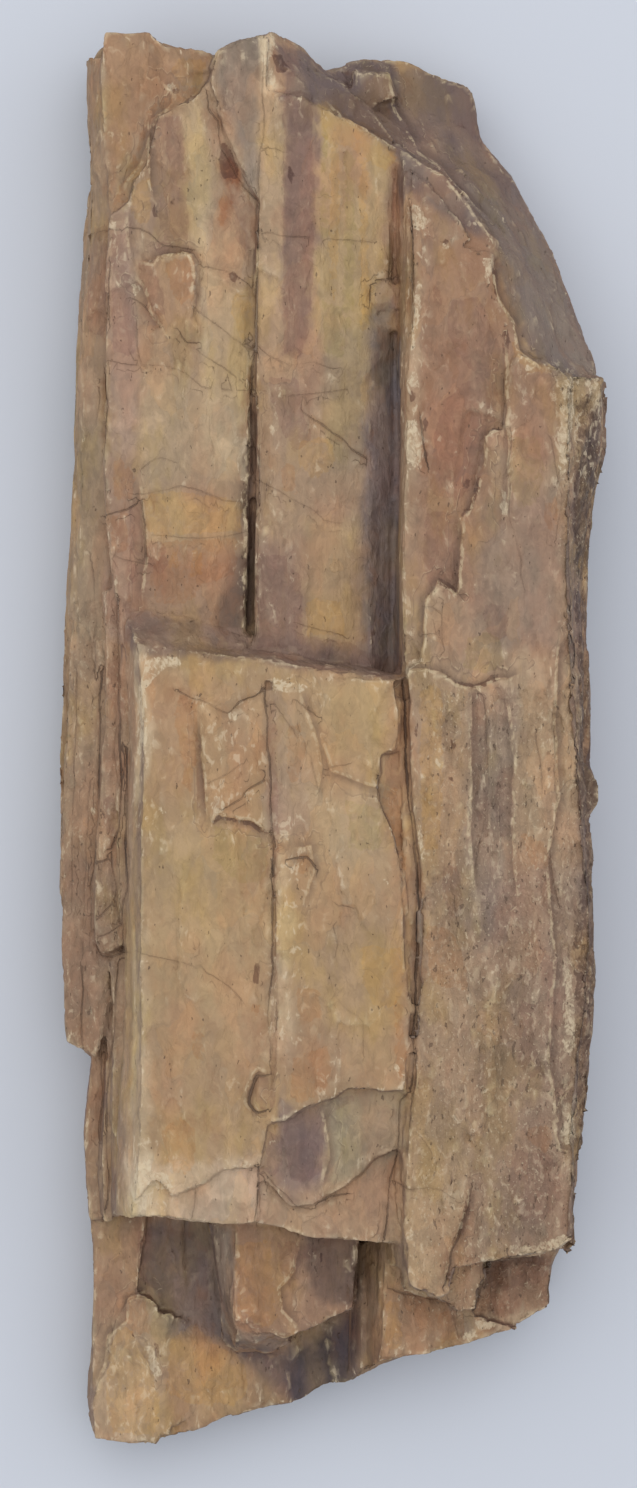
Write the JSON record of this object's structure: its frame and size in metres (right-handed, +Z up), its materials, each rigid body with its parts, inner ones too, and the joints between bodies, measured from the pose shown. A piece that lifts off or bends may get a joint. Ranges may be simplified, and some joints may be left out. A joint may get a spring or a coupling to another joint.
{
  "type": "petrified wood branch",
  "caption": "Split length of petrified limb lying flat, with stepped panels, blocks and splinters that broke along the grain.",
  "frame": {"origin": "middle of the bounding box's base, on the surface that the specimen lies on", "axes": "+Y along the grain towards the obliquely broken end, +Z up from the flat resting face, +X towards the long plain slab"},
  "size_m": [0.1119, 0.2889, 0.0437],
  "materials": {
    "petrified_wood": "matt tan and brown silicified wood with streaks along the grain and pale chipped edges"
  },
  "bodies": {
    "root": {"petrified_wood": "petrified_wood"}
  },
  "joints": []
}
